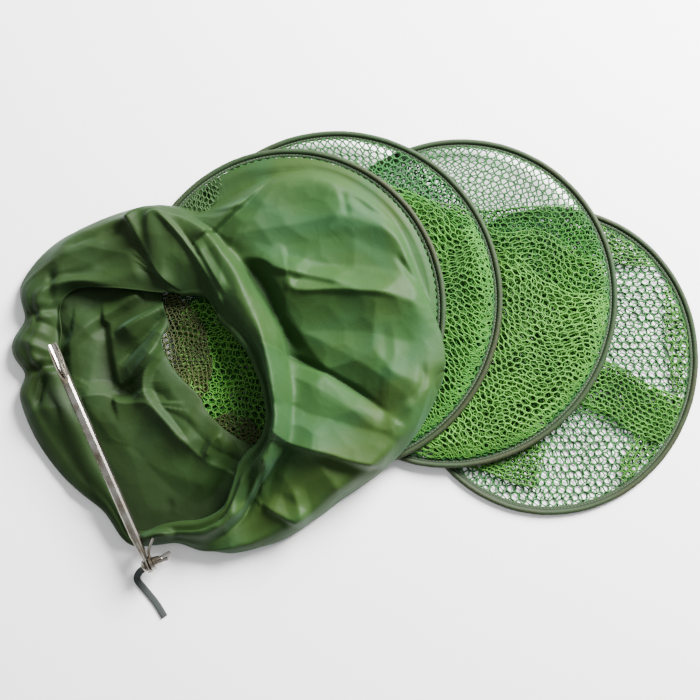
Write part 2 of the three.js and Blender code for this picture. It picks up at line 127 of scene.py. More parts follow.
class Finish:  # one material and its nodes
    def __init__(self, name):
        self.material = bpy.data.materials.new(name)
        self.material.use_nodes = True
        self.tree = self.material.node_tree
        self.tree.nodes.clear()

    def node(self, kind, settings=None, inputs=None, output=0):
        made = self.tree.nodes.new(kind)
        for key, value in (settings or {}).items():
            setattr(made, key, value)
        for key, value in (inputs or {}).items():
            if isinstance(value, Wire):
                self.tree.links.new(value.socket, made.inputs[key])
            else:
                made.inputs[key].default_value = value
        return Wire(self, made.outputs[output])

    def ease(self, value, start, end):  # nought at start, one at end, with soft ends
        soft = {"interpolation_type": "SMOOTHSTEP"}
        return self.node("ShaderNodeMapRange", soft, {0: value, 1: start, 2: end})

    def mix(self, share, first, second):
        first = (*first, 1) if isinstance(first, tuple) and len(first) == 3 else first
        second = (*second, 1) if isinstance(second, tuple) and len(second) == 3 else second
        return self.node("ShaderNodeMix", {"data_type": "RGBA"}, {0: share, 6: first, 7: second}, output=2)

    def surface(self, inputs):
        shader = self.node("ShaderNodeBsdfPrincipled", None, inputs)
        out = self.tree.nodes.new("ShaderNodeOutputMaterial")
        self.tree.links.new(shader.socket, out.inputs["Surface"])
        return self.material


def nettingFinish(name, look):
    finish = Finish(name)
    spot = finish.node("ShaderNodeTexCoord", output="Object")
    broad = finish.node("ShaderNodeTexNoise", None, {"Vector": spot, "Scale": 28.0, "Detail": 3.0})
    fine = finish.node("ShaderNodeTexNoise", None, {"Vector": spot, "Scale": 900.0, "Detail": 2.0})
    mask = finish.node("ShaderNodeMapRange", None, {0: broad, 1: 0.35, 2: 0.65})
    colour = finish.mix(mask, look["shade"], look["strand"])
    lift = finish.node("ShaderNodeMapRange", None, {0: fine, 1: 0.45, 2: 0.7})
    colour = finish.mix(lift * 0.6, colour, look["pale"])
    twist = finish.node("ShaderNodeTexWave", {"bands_direction": "DIAGONAL"},
                        {"Vector": spot, "Scale": 700.0})
    bump = finish.node("ShaderNodeBump", None, {"Strength": 0.35, "Distance": 0.0002, "Height": twist + fine})
    return finish.surface({"Base Color": colour, "Roughness": 0.6 + fine * 0.2, "Normal": bump,
                           "Specular IOR Level": 0.3})


def clothFinish():
    # The last two tones are painted shade: one for the left side of the collar, one for cloth lying low by
    # the floor.
    look = {"green": (0.0150, 0.0470, 0.0100), "olive": (0.0205, 0.0400, 0.0052),
            "teal": (0.0135, 0.0540, 0.0215), "paintedLeftShade": (0.0082, 0.0180, 0.0028),
            "paintedLowShade": (0.0040, 0.0075, 0.0016)}
    finish = Finish("collarCloth")
    spot = finish.node("ShaderNodeTexCoord", output="Object")
    weaveSpot = finish.node("ShaderNodeTexCoord", output="UV")
    turned = finish.node("ShaderNodeMapping", None, {"Vector": spot, "Rotation": (0.7, 0.9, 0.5)})
    broad = finish.node("ShaderNodeTexNoise", None, {"Vector": turned, "Scale": 6.0, "Detail": 1.0,
                                                      "Distortion": 1.2})
    patch = finish.node("ShaderNodeTexNoise", None, {"Vector": turned, "Scale": 11.0, "Detail": 1.0,
                                                      "Distortion": 1.6})
    oliveMask = finish.node("ShaderNodeMapRange", None, {0: broad, 1: 0.42, 2: 0.64})
    tealMask = finish.node("ShaderNodeMapRange", None, {0: patch, 1: 0.5, 2: 0.72})
    colour = finish.mix(oliveMask * 0.7, look["green"], look["olive"])
    colour = finish.mix(tealMask * 0.4, colour, look["teal"])
    away = finish.node("ShaderNodeSeparateXYZ", None, {0: spot}, output=0)  # painted shade: darker towards the mouth, on the left side of the collar
    paintedLeftShadeMask = finish.ease(away + broad * 0.08, 0.03, -0.20)
    colour = finish.mix(paintedLeftShadeMask * 0.8, colour, look["paintedLeftShade"])
    # painted shade: darker where the cloth lies within about 12 mm of the floor, together with the left-side
    # shade
    up = finish.node("ShaderNodeSeparateXYZ", None, {0: spot}, output=2)
    paintedLowShade = finish.ease(up, 0.012, 0.002)
    colour = finish.mix(paintedLowShade * paintedLeftShadeMask * 0.75, colour, look["paintedLowShade"])
    warp = finish.node("ShaderNodeTexWave", {"bands_direction": "X"}, {"Vector": weaveSpot, "Scale": 900.0})
    weft = finish.node("ShaderNodeTexWave", {"bands_direction": "Y"}, {"Vector": weaveSpot, "Scale": 900.0})
    weave = finish.node("ShaderNodeBump", None, {"Strength": 0.10, "Distance": 0.0001, "Height": warp * weft})
    crumple = finish.node("ShaderNodeTexNoise", None, {"Vector": turned, "Scale": 60.0, "Detail": 4.0,
                                                        "Roughness": 0.5, "Distortion": 0.8})
    bump = finish.node("ShaderNodeBump", None, {"Strength": 0.16, "Distance": 0.003, "Height": crumple,
                                                "Normal": weave})
    rough = finish.node("ShaderNodeMapRange", None, {0: patch, 1: 0.3, 2: 0.7, 3: 0.56, 4: 0.66})
    return finish.surface({"Base Color": colour, "Roughness": rough, "Normal": bump,
                           "Specular IOR Level": 0.14, "Sheen Weight": 0.06, "Sheen Roughness": 0.4,
                           "Sheen Tint": (0.5, 1.0, 0.7, 1)})


def sleeveFinish():
    look = {"green": (0.0100, 0.0270, 0.0070), "brown": (0.0160, 0.0200, 0.0055),
            "pale": (0.026, 0.052, 0.021), "seam": (0.0050, 0.0120, 0.0036),
            "flange": (0.0120, 0.0300, 0.0090)}
    finish = Finish("sleeveTape")
    spot = finish.node("ShaderNodeTexCoord", output="Object")
    tapeSpot = finish.node("ShaderNodeTexCoord", output="UV")
    across = finish.node("ShaderNodeSeparateXYZ", None, {0: tapeSpot}, output=1)
    broad = finish.node("ShaderNodeTexNoise", None, {"Vector": spot, "Scale": 9.0, "Detail": 2.0})
    fine = finish.node("ShaderNodeTexNoise", None, {"Vector": spot, "Scale": 420.0, "Detail": 3.0})
    mask = finish.node("ShaderNodeMapRange", None, {0: broad, 1: 0.4, 2: 0.62})
    colour = finish.mix(mask, look["green"], look["brown"])
    lift = finish.node("ShaderNodeMapRange", None, {0: fine, 1: 0.45, 2: 0.75})
    colour = finish.mix(lift * 0.5, colour, look["pale"])
    flange = finish.node("ShaderNodeMapRange", None, {0: across, 1: 0.55, 2: 0.62})
    colour = finish.mix(flange * 0.75, colour, look["flange"])
    # painted shadow in the groove between the round tube and the flat flange
    seam = finish.ease(across, 0.50, 0.58)
    past = finish.ease(across, 0.64, 0.72)
    colour = finish.mix((seam - past) * 0.9, colour, look["seam"])
    bump = finish.node("ShaderNodeBump", None, {"Strength": 0.5, "Distance": 0.0004, "Height": fine})
    return finish.surface({"Base Color": colour, "Roughness": 0.6 + fine * 0.2, "Normal": bump,
                           "Specular IOR Level": 0.25})


def steelFinish():
    finish = Finish("polishedSteel")
    spot = finish.node("ShaderNodeTexCoord", output="Object")
    smear = finish.node("ShaderNodeTexNoise", None, {"Vector": spot, "Scale": 60.0, "Detail": 4.0})
    scratch = finish.node("ShaderNodeTexNoise", None, {"Vector": spot, "Scale": 900.0, "Detail": 2.0})
    colour = finish.mix(finish.node("ShaderNodeMapRange", None, {0: smear, 1: 0.4, 2: 0.7}),
                        (0.44, 0.42, 0.38), (0.17, 0.14, 0.10))
    bump = finish.node("ShaderNodeBump", None, {"Strength": 0.08, "Distance": 0.0002, "Height": scratch})
    return finish.surface({"Base Color": colour, "Metallic": 1.0, "Roughness": 0.14 + smear * 0.14,
                           "Normal": bump})


def tapeFinish():
    finish = Finish("blackTape")
    spot = finish.node("ShaderNodeTexCoord", output="Object")
    ribs = finish.node("ShaderNodeTexWave", {"bands_direction": "DIAGONAL"},
                       {"Vector": spot, "Scale": 380.0, "Distortion": 1.0})
    colour = finish.mix(ribs, (0.010, 0.014, 0.013), (0.035, 0.042, 0.040))
    bump = finish.node("ShaderNodeBump", None, {"Strength": 0.6, "Distance": 0.0003, "Height": ribs})
    return finish.surface({"Base Color": colour, "Roughness": 0.7 + ribs * 0.15, "Normal": bump})


def threadFinish():
    finish = Finish("seamThread")
    spot = finish.node("ShaderNodeTexCoord", output="Object")
    fine = finish.node("ShaderNodeTexNoise", None, {"Vector": spot, "Scale": 800.0})
    colour = finish.mix(fine, (0.035, 0.060, 0.028), (0.070, 0.110, 0.058))
    return finish.surface({"Base Color": colour, "Roughness": 0.6 + fine * 0.1})


netLooks = {
    # painted shade: a darker, greyer copy of the same green netting, for open netting seen against the bright
    # floor
    "clear": {"strand": (0.012, 0.100, 0.016), "shade": (0.006, 0.060, 0.009), "pale": (0.036, 0.165, 0.040)},
    # painted shade: a darker copy of the same green netting, for layers lying under others
    "deep": {"strand": (0.010, 0.100, 0.002), "shade": (0.005, 0.058, 0.001), "pale": (0.030, 0.150, 0.008)},
    "leaf": {"strand": (0.028, 0.135, 0.007), "shade": (0.012, 0.075, 0.003), "pale": (0.085, 0.240, 0.030)},
    # painted light: a paler copy of the same green netting, for lit layers on top
    "paintedLitNet": {"strand": (0.050, 0.190, 0.014), "shade": (0.024, 0.115, 0.006), "pale": (0.140, 0.330, 0.060)},
    # painted shade: a dark olive copy of the same green netting, for the bunched netting at the shoulder
    "paintedShadeOlive": {"strand": (0.016, 0.054, 0.009), "shade": (0.008, 0.028, 0.004), "pale": (0.040, 0.095, 0.022)},
    # painted shadow: a dark khaki copy of the same green netting, for netting lying in shade over the floor
    # inside the mouth
    "paintedShadowNet": {"strand": (0.034, 0.046, 0.008), "shade": (0.016, 0.024, 0.004), "pale": (0.070, 0.088, 0.022)},
}
finishes = {name: nettingFinish(name + "Netting", look) for name, look in netLooks.items()}
finishes |= {"cloth": clothFinish(), "sleeve": sleeveFinish(),
            "steel": steelFinish(), "tape": tapeFinish(), "thread": threadFinish()}
print("stage: finishes")


strap = {"wide": 7, "thick": 1.6, "rest": 1.05, "start": (-205, -220, 9),
         "bends": [(-212, -225, 5), (-215, -233, 1.45)], "along": [(-207, -243), (-196, -256), (-187, -270)]}


def between(a, b, c, d, t):  # a smooth line from b to c, with a before them and d after
    return 0.5 * (2 * b + (c - a) * t + (2 * a - 5 * b + 4 * c - d) * t * t
                  + (3 * b - a - 3 * c + d) * t ** 3)


def curveThrough(points, steps):  # a smooth path through a few points
    whole = []
    for k in range(len(points) - 1):
        a, b, c, d = (points[min(max(k + o, 0), len(points) - 1)] for o in (-1, 0, 1, 2))
        for i in range(steps):
            whole.append(between(a, b, c, d, i / steps))
    whole.append(points[-1])
    return whole


def pathLength(path):
    return sum((b - a).length for a, b in zip(path, path[1:]))


def makeStrap():
    stops = [strap["start"], *strap["bends"], *[(x, y, strap["rest"]) for x, y in strap["along"]]]
    path = curveThrough([place(*stop) for stop in stops], 8)
    half, thick = strap["wide"] / 2 * mm, strap["thick"] / 2 * mm
    bm = bmesh.new()
    loops = []
    for k, point in enumerate(path):
        ahead = (path[min(k + 1, len(path) - 1)] - path[max(k - 1, 0)]).normalized()
        side = Vector((-ahead.y, ahead.x, 0)).normalized()
        up = ahead.cross(side).normalized()
        up = up if up.z > 0 else -up
        ring = []
        for s, t in ((-1, -0.4), (-1, 0.4), (-0.85, 1), (-0.3, 0.85), (0.3, 0.85), (0.85, 1),
                     (1, 0.4), (1, -0.4), (0.85, -1), (-0.85, -1)):
            ring.append(bm.verts.new(point + side * half * s + up * thick * t))
        loops.append([bm.edges.new((ring[i], ring[(i + 1) % len(ring)])) for i in range(len(ring))])
    for first, second in zip(loops, loops[1:]):
        bmesh.ops.bridge_loops(bm, edges=first + second)
    bmesh.ops.holes_fill(bm, edges=loops[0] + loops[-1])
    bmesh.ops.recalc_face_normals(bm, faces=bm.faces)
    piece = newPiece("carryTape", bm, "net", finishes["tape"])
    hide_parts("strap")
    pathLength(path)
    return piece


makeStrap()
print("stage: strap")


def planeAt(hoop, x):
    return hoop["low"] + hoop["slope"] * (x - (hoop["x"] - hoop["short"]))


def reachOf(hoop, angle):
    off = angle - math.radians(hoop["turn"])
    return 1 / math.hypot(math.cos(off) / hoop["long"], math.sin(off) / hoop["short"])


def hoopPoint(hoop, angle, inset, height):
    reach = reachOf(hoop, angle) - inset
    x = hoop["x"] + reach * math.cos(angle)
    y = hoop["y"] + reach * math.sin(angle)
    return x, y, planeAt(hoop, x) + height


spinReach = 1000  # the sleeve is spun as a plain ring, then bent to its hoop
sleeve = {"wide": 9, "tall": 5.5, "tube": 5.6, "seamLow": 1.9, "seamHigh": 3.3, "steps": 240,
          "pucker": 0.22, "stitchEvery": 3.4, "stitchLong": 2.2, "stitchWide": 0.5, "stitchInset": 6.6}


def makeSleeve(name):
    hoop = hoops[name]
    tube, tall, wide = sleeve["tube"], sleeve["tall"], sleeve["wide"]
    middle = (sleeve["seamLow"] + sleeve["seamHigh"]) / 2
    outline = []  # the round tube, then the flat flange that it is sewn into
    for k in range(13):
        turn = math.radians(24 + 26 * k)
        outline.append((tube / 2 + tube / 2 * math.cos(turn), tall / 2 + tall / 2 * math.sin(turn)))
    outline += [(tube + 0.5, middle - 0.35), (tube + 1.4, middle - 0.65), (wide - 0.5, middle - 0.65),
                (wide, middle), (wide - 0.5, middle + 0.65), (tube + 1.4, middle + 0.65),
                (tube + 0.5, middle + 0.35)]
    bm = bmesh.new()
    start = [bm.verts.new((spinReach - inset, 0, height)) for inset, height in outline]
    edges = [bm.edges.new((start[k], start[(k + 1) % len(start)])) for k in range(len(start))]
    bmesh.ops.spin(bm, geom=start + edges, cent=(0, 0, 0), axis=(0, 0, 1), angle=2 * math.pi,
                   steps=sleeve["steps"], use_merge=True)
    seed = hoop["x"] * 0.31
    tapeUv = bm.loops.layers.uv.new("tape")
    for face in bm.faces:
        for loop in face.loops:  # across the sleeve, from its outer edge to its inner edge
            loop[tapeUv].uv = (0, (spinReach - math.hypot(loop.vert.co.x, loop.vert.co.y)) / wide)
    for vert in bm.verts:
        angle = math.atan2(vert.co.y, vert.co.x)
        inset = spinReach - math.hypot(vert.co.x, vert.co.y)
        pucker = noise.noise(Vector((math.cos(angle) * 30, math.sin(angle) * 30, seed)))
        slow = noise.noise(Vector((math.cos(angle) * 6, math.sin(angle) * 6, seed + 9)))
        height = vert.co.z
        if inset > tube:
            height += sleeve["pucker"] * 1.6 * pucker
            inset += 0.5 * slow
        else:
            height = tall / 2 + (height - tall / 2) * (1 + sleeve["pucker"] * 0.35 * pucker)
            inset += 0.25 * slow + sleeve["pucker"] * pucker
        vert.co = place(*hoopPoint(hoop, angle, inset, max(height, 0.0)))
    bmesh.ops.recalc_face_normals(bm, faces=bm.faces)
    piece = newPiece(name + "_sleeve", bm, "net", finishes["sleeve"])
    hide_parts(name)
    return piece


def makeStitches(name):
    hoop = hoops[name]
    around = math.pi * (hoop["long"] + hoop["short"] - 2 * sleeve["stitchInset"])
    count = int(around / sleeve["stitchEvery"])
    bm = bmesh.new()
    for k in range(count):
        angle = 2 * math.pi * k / count
        here = Vector(hoopPoint(hoop, angle, sleeve["stitchInset"], sleeve["seamHigh"] + 0.05))
        ahead = Vector(hoopPoint(hoop, angle + 0.01, sleeve["stitchInset"], sleeve["seamHigh"] + 0.05))
        turn = math.atan2(ahead.y - here.y, ahead.x - here.x)
        made = bmesh.ops.create_cube(bm, size=1.0)["verts"]
        bmesh.ops.scale(bm, vec=(sleeve["stitchLong"] * mm, sleeve["stitchWide"] * mm, 0.35 * mm), verts=made)
        bmesh.ops.rotate(bm, cent=(0, 0, 0), matrix=Matrix.Rotation(turn, 3, "Z"), verts=made)
        bmesh.ops.translate(bm, vec=place(*here), verts=made)
    newPiece(name + "_stitches", bm, "net", finishes["thread"], smooth=False)


for hoopName in hoops:
    makeSleeve(hoopName)
    makeStitches(hoopName)
print("stage: sleeves")


net = {"pitch": 8.5, "strand": 1.4, "openStrand": 1.62, "edgeGap": 0.8, "tubeLength": 200,
       "wave": 7, "jitter": 0.6, "ripple": 0.7, "squeeze": 0.74, "under": 24, "leastShare": 0.301}


# onNet takes shares of the way across and along and gives a layout point. size is the flat netting in mm.
def netPiece(name, onNet, size, closed=False, keep=None, node=None, finish="clear", pitch=net["pitch"],
             squeeze=1, strand=net["openStrand"]):
    cellSide = pitch / math.sqrt(3)
    columns = 2 * int(size[0] / pitch)
    rows = int(size[1] / (1.5 * cellSide * squeeze))  # gathered meshes are squeezed flat
    across = columns if closed else columns + 1
    curve = bpy.data.curves.new(name, "CURVE")
    curve.dimensions = "3D"
    curve.bevel_depth = strand / 2 * mm
    curve.bevel_resolution = 0
    points, kept = {}, []
    for k in range(rows + 1):
        for j in range(across):
            along = (k + ((j + k) % 2) / 3) / (rows + 1 / 3)
            point = onNet(j / columns, along)
            if keep and not keep(point):
                continue
            wobble = noise.noise_vector(Vector((j * 0.9, k * 0.9, size[1] * 0.07))) * net["jitter"]
            points[k, j] = place(point.x + wobble.x, point.y + wobble.y, point.z + wobble.z * 0.25)
            kept.append((j / columns, along))
    runs = []
    for k in range(rows + 1):
        run = []
        for j in range(across + 1):
            if j < across and (k, j) in points:
                run.append(points[k, j])
            elif j == across and closed and len(run) == across:
                run.append(run[0])
                runs.append(run)
            else:
                runs.append(run)
                run = []
    for k in range(rows):
        for j in range(across):
            if (j + k) % 2 == 1 and (k, j) in points and (k + 1, j) in points:
                runs.append([points[k, j], points[k + 1, j]])
    for run in runs:
        if len(run) < 2:
            continue
        spline = curve.splines.new("POLY")
        spline.points.add(len(run) - 1)
        spline.points.foreach_set("co", [value for point in run for value in (*point, 1.0)])
    drawn = bpy.data.objects.new(name + "_curve", curve)
    bpy.context.scene.collection.objects.link(drawn)
    bpy.context.view_layer.update()
    mesh = bpy.data.meshes.new_from_object(drawn.evaluated_get(bpy.context.evaluated_depsgraph_get()))
    bpy.data.objects.remove(drawn)
    mesh.name = name
    mesh.materials.clear()
    mesh.materials.append(finishes[finish])
    mesh.polygons.foreach_set("use_smooth", [True] * len(mesh.polygons))
    piece = bpy.data.objects.new(name, mesh)
    bpy.context.scene.collection.objects.link(piece)
    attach(piece, "net")
    if node:
        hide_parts(node)
    spans = [max(spot[n] for spot in kept) - min(spot[n] for spot in kept) for n in (0, 1)]
    wide = size[0] * (1 if closed else spans[0])
    long = size[1] * spans[1] / squeeze
    area = min(len(kept) / 2 * 1.5 * cellSide * pitch, wide * long)
    if area < net["leastShare"] * wide * long:
        print(name, "true width", round(wide), "mm, declared narrower, covers", round(area / wide / long, 3))
        wide = area / net["leastShare"] / long
    wide * mm
    long * mm
    area * mm * mm
    print(name, len(mesh.polygons) * 2, "triangles,", round(wide), "by", round(long))
    return piece


def inHoop(name, x, y, margin):  # whether a layout point is inside a hoop's edge by a margin
    hoop = hoops[name]
    angle = math.atan2(y - hoop["y"], x - hoop["x"])
    return math.hypot(x - hoop["x"], y - hoop["y"]) < reachOf(hoop, angle) - margin


def makeNetTube(lowerName, upperName, lowerSeat, node):
    lower, upper = hoops[lowerName], hoops[upperName]
    inset = sleeve["wide"] - 0.3
    upperSeat = 2.6
    middleX = (lower["x"] + upper["x"]) / 2
    middleY = (lower["y"] + upper["y"]) / 2
    around = math.pi * (lower["long"] + lower["short"])
    seed = lower["x"] * 0.37

    def onNet(u, v):  # u goes once round, v from the lower hoop to the upper one
        circle = 2 * math.pi * u
        sway = noise.noise(Vector((math.cos(circle) * 3, math.sin(circle) * 3, v * 4 + seed)))
        angle = circle + 0.25 * (v - 0.5) + 0.025 * sway
        start = Vector(hoopPoint(lower, angle, inset, lowerSeat))
        end = Vector(hoopPoint(upper, angle, inset, upperSeat))
        mean = (reachOf(lower, angle) + reachOf(upper, angle)) / 2 - inset
        ring = mean - net["tubeLength"] / 2 + net["wave"] * math.sin(5 * angle + lower["x"])
        foldX = middleX + ring * math.cos(angle)
        foldY = middleY + ring * math.sin(angle)
        lowFold = Vector((foldX, foldY, planeAt(lower, foldX) + lowerSeat))
        highFold = Vector((foldX, foldY, planeAt(upper, foldX) + upperSeat))
        lowRun, highRun = (lowFold - start).length, (highFold - end).length
        along = v * (lowRun + highRun)
        if along < lowRun:
            point = start.lerp(lowFold, along / lowRun)
        else:
            point = highFold.lerp(end, (along - lowRun) / highRun)
        turn = max(0.0, 1 - abs(lowRun - along) / 12)
        point.z += ((lowFold.z + highFold.z) / 2 - point.z) * turn * turn
        ripple = noise.noise(Vector((point.x * 0.03, point.y * 0.03, seed + (along > lowRun))))
        point.z += net["ripple"] * ripple * math.sin(math.pi * min(max(v, 0), 1)) ** 0.5
        return point

    return netPiece("strands_" + node, onNet, (around, net["tubeLength"]), closed=True, node=node)


def makeBaseNet():
    hoop = hoops["hoop_4"]
    inset = sleeve["wide"] + net["edgeGap"] - 1.8
    span = hoop["long"]

    def onNet(u, v):
        x, y = (u - 0.5) * 2 * span, (v - 0.5) * 2 * span
        return Vector((hoop["x"] + x, hoop["y"] + y, 0.8 + 0.15 * noise.noise(Vector((x, y, 0)) * 0.05)))

    return netPiece("strands_base_net", onNet, (2 * span, 2 * span), node="base_net",
                    keep=lambda point: inHoop("hoop_4", point.x, point.y, inset))


# Where the gathered netting lies doubled. `edge` is the fold in the layout, and the netting lies to
# the right of it, `deep` into the hoop named `inside`. Layers start `low` above that hoop's plane,
# `rise` apart, and stop net["under"] mm inside the edge of the hoop named `below`.
gathers = [
    {"name": "third_top", "edge": (119, 145, 258, 149), "deep": 290, "inside": "hoop_3",
     "below": "hoop_2", "low": 5.4, "rise": 1.5, "skew": 0.1, "lump": 2.0, "rank": 2, "sway": 3,
     "pitch": 8, "finish": "deep", "seed": 1.0},
    {"name": "third_middle", "edge": (121, 135, 265, 92), "deep": 260, "inside": "hoop_3",
     "below": "hoop_2", "low": 8.0, "rise": 1.5, "skew": -0.12, "lump": 2.5, "rank": 1, "sway": 16,
     "pitch": 9, "finish": "leaf", "seed": 3.7},
    {"name": "third_low", "edge": (117, 98, 262, 40), "deep": 250, "inside": "hoop_3",
     "below": "hoop_2", "low": 10.4, "rise": 1.5, "skew": 0.05, "lump": 2.5, "rank": 0, "sway": 26,
     "pitch": 9.5, "finish": "paintedLitNet", "seed": 6.4},
    {"name": "second_top", "edge": (-25, 194, 152, 129), "deep": 300, "inside": "hoop_2",
     "below": "hoop_1", "low": 5.4, "rise": 1.5, "skew": -0.08, "lump": 2.0, "rank": 2, "sway": 5,
     "pitch": 8, "finish": "leaf", "seed": 9.1},
    {"name": "second_middle", "edge": (22, 178, 172, 112), "deep": 270, "inside": "hoop_2",
     "below": "hoop_1", "low": 8.0, "rise": 1.5, "skew": 0.12, "lump": 2.5, "rank": 1, "sway": 12,
     "pitch": 9, "finish": "deep", "seed": 11.8},
    {"name": "second_low", "edge": (45, 158, 172, 108), "deep": 260, "inside": "hoop_2",
     "below": "hoop_1", "low": 10.4, "rise": 1.6, "skew": -0.04, "lump": 2.5, "rank": 0, "sway": 24,
     "pitch": 9.5, "finish": "leaf", "seed": 14.5},
    {"name": "fourth_under", "edge": (248, -6, 356, -60), "deep": 52, "inside": "hoop_4",
     "below": "hoop_3", "low": 2.9, "rise": 1.0, "skew": -0.1, "lump": 1.0, "rank": 1, "sway": 3,
     "pitch": 6.5, "finish": "deep", "seed": 27.0},
    {"name": "fourth_flap", "edge": (248, -4, 354, -59), "deep": 50, "inside": "hoop_4",
     "below": "hoop_3", "low": 4.6, "rise": 1.5, "skew": 0.15, "lump": 2.0, "rank": 0, "sway": 3,
     "pitch": 7.5, "finish": "leaf", "seed": 17.2},
    {"name": "fourth_top", "edge": (325, 83, 242, 93), "deep": 60, "inside": "hoop_4",
     "below": "hoop_3", "low": 4.0, "rise": 1.5, "skew": 0.1, "lump": 1.5, "rank": 0, "sway": 8,
     "pitch": 7.5, "finish": "leaf", "seed": 19.9},
    {"name": "fourth_foot", "edge": (172, -139, 91, -113), "deep": 44, "inside": "hoop_4",
     "below": "hoop_3", "low": 4.0, "rise": 1.5, "skew": 0.1, "lump": 1.0, "rank": 0, "sway": 8,
     "pitch": 7, "finish": "leaf", "seed": 22.6},
]


def makeGather(row):
    x1, y1, x2, y2 = row["edge"]
    long = math.hypot(x2 - x1, y2 - y1)
    ahead = Vector(((x2 - x1) / long, (y2 - y1) / long))
    side = Vector((ahead.y, -ahead.x))
    seed = row["seed"]

    def onNet(u, v):
        off = abs(v - 0.5) * 2 * row["deep"]
        upper = 1 if v > 0.5 else 0
        along = (u * 1.4 - 0.2) * long + off * row["skew"] * (1 if upper else -0.4)
        sway = noise.noise_vector(Vector((along * 0.02, off * 0.02, seed + upper * 3))) * 10
        edgeSway = row["sway"] * noise.noise(Vector((along * 0.022, seed, 0)))
        along += sway.x
        off += sway.y * min(1, off / 20) + edgeSway
        x = x1 + ahead.x * along + side.x * off
        y = y1 + ahead.y * along + side.y * off
        near = max(0.0, 1 - off / 9)
        level = row["low"] + row["rise"] * (0.5 + (upper - 0.5) * (1 - near * near))
        lump = 0.5 + noise.noise(Vector((x * 0.028, y * 0.028, seed + 11)))
        level += row["lump"] * max(0, lump) * (0.6 + 0.4 * upper)
        inner = hoops[row["inside"]]
        z = planeAt(inner, x) + level
        over = hoops[row["below"]]
        angle = math.atan2(y - over["y"], x - over["x"])
        past = math.hypot(x - over["x"], y - over["y"]) - reachOf(over, angle)
        roof = planeAt(over, x) - 1.0 - 0.9 * (1 - upper) - row["rank"] * 0.4
        z = min(z, roof + max(0.0, past) * 0.7)
        rimAngle = math.atan2(y - inner["y"], x - inner["x"])
        toRim = reachOf(inner, rimAngle) - sleeve["wide"] - math.hypot(x - inner["x"], y - inner["y"])
        z = min(z, planeAt(inner, x) + 4.4 + max(0.0, toRim) * 0.5)
        return Vector((x, y, z))

    def keep(point):
        if not inHoop(row["inside"], point.x, point.y, sleeve["wide"] + 0.5):
            return False
        return not inHoop(row["below"], point.x, point.y, net["under"])

    return netPiece("gather_" + row["name"], onNet, (1.4 * long, 2 * row["deep"]), keep=keep,
                    finish=row["finish"], pitch=row["pitch"], squeeze=net["squeeze"],
                    strand=net["strand"])


# Bunched netting that shows through the mouth and beside it: an oval patch each, about `x` and `y`,
# `wide` and `long` with `long` turned by `turn` degrees, and `low` above the plane of its `hoop`.
patches = [
    {"name": "mouth_green", "x": -122, "y": -30, "wide": 86, "long": 176, "turn": 25, "low": 4.6, "lump": 3.0,
     "layers": 2, "pitch": 7.5, "finish": "paintedLitNet", "seed": 31.0},
    {"name": "mouth_under", "x": -122, "y": -30, "wide": 92, "long": 180, "turn": 25, "low": 3.7, "lump": 1.0,
     "layers": 2, "pitch": 6.5, "finish": "deep", "seed": 33.0},
    {"name": "mouth_edge", "x": -170, "y": 2, "wide": 56, "long": 112, "turn": 16, "low": 6.6, "lump": 2.0,
     "layers": 2, "pitch": 5.5, "finish": "paintedShadowNet", "seed": 35.0},
    {"name": "mouth_foot", "x": -112, "y": -88, "wide": 40, "long": 62, "turn": 58, "low": 6.6, "lump": 2.0,
     "layers": 2, "pitch": 5.5, "finish": "paintedShadowNet", "seed": 37.0},
    {"name": "shoulder", "x": -157, "y": 153, "wide": 34, "long": 66, "turn": -48, "low": 9.6, "lump": 2.5,
     "layers": 2, "pitch": 5.5, "finish": "paintedShadeOlive", "seed": 41.0},
    {"name": "rim_right", "x": 336, "y": 10, "wide": 26, "long": 150, "turn": 4, "low": 3.6, "lump": 1.0,
     "layers": 2, "pitch": 7, "finish": "leaf", "seed": 43.0, "hoop": "hoop_4"},
    {"name": "rim_low", "x": 308, "y": -96, "wide": 40, "long": 100, "turn": -38, "low": 3.2, "lump": 1.5,
     "layers": 2, "pitch": 7, "finish": "leaf", "seed": 45.0, "hoop": "hoop_4"},
]


def makePatch(row):
    turn = math.radians(90 + row["turn"])
    ahead, side = Vector((math.cos(turn), math.sin(turn))), Vector((math.sin(turn), -math.cos(turn)))
    count, seed, around = row["layers"], row["seed"], row.get("hoop", "hoop_1")

    def onNet(u, v):  # the netting runs to and fro across the patch, one layer over the other
        layer = min(int(v * count), count - 1)
        share = v * count - layer
        along, off = (u - 0.5) * row["long"], (share - 0.5 if layer % 2 == 0 else 0.5 - share) * row["wide"]
        sway = noise.noise_vector(Vector((along * 0.025, off * 0.025, seed + layer * 3))) * 9
        x = row["x"] + ahead.x * (along + sway.x) + side.x * (off + sway.y)
        y = row["y"] + ahead.y * (along + sway.x) + side.y * (off + sway.y)
        lump = max(0, 0.5 + noise.noise(Vector((x * 0.04, y * 0.04, seed))))
        rise = layer + smoothStep(0.85, 1, share) * 0.5 - (1 - smoothStep(0, 0.15, share)) * 0.5
        return Vector((x, y, planeAt(hoops[around], x) + row["low"] + 0.9 * rise + row["lump"] * lump))

    def keep(point):
        dx, dy = point.x - row["x"], point.y - row["y"]
        along, off = dx * ahead.x + dy * ahead.y, dx * side.x + dy * side.y
        inOval = math.hypot(along / row["long"], off / row["wide"]) < 0.5
        return inOval and inHoop(around, point.x, point.y, sleeve["wide"] + 1)

    return netPiece("patch_" + row["name"], onNet, (row["long"], row["wide"] * count), keep=keep,
                    finish=row["finish"], pitch=row["pitch"], strand=net["strand"])


makeNetTube("hoop_4", "hoop_3", 2.2, "net_3_4")
makeNetTube("hoop_3", "hoop_2", 4.2, "net_2_3")
makeNetTube("hoop_2", "hoop_1", 4.2, "net_1_2")
makeBaseNet()
for gather in gathers:
    makeGather(gather)
for patch in patches:
    makePatch(patch)
print("stage: netting")


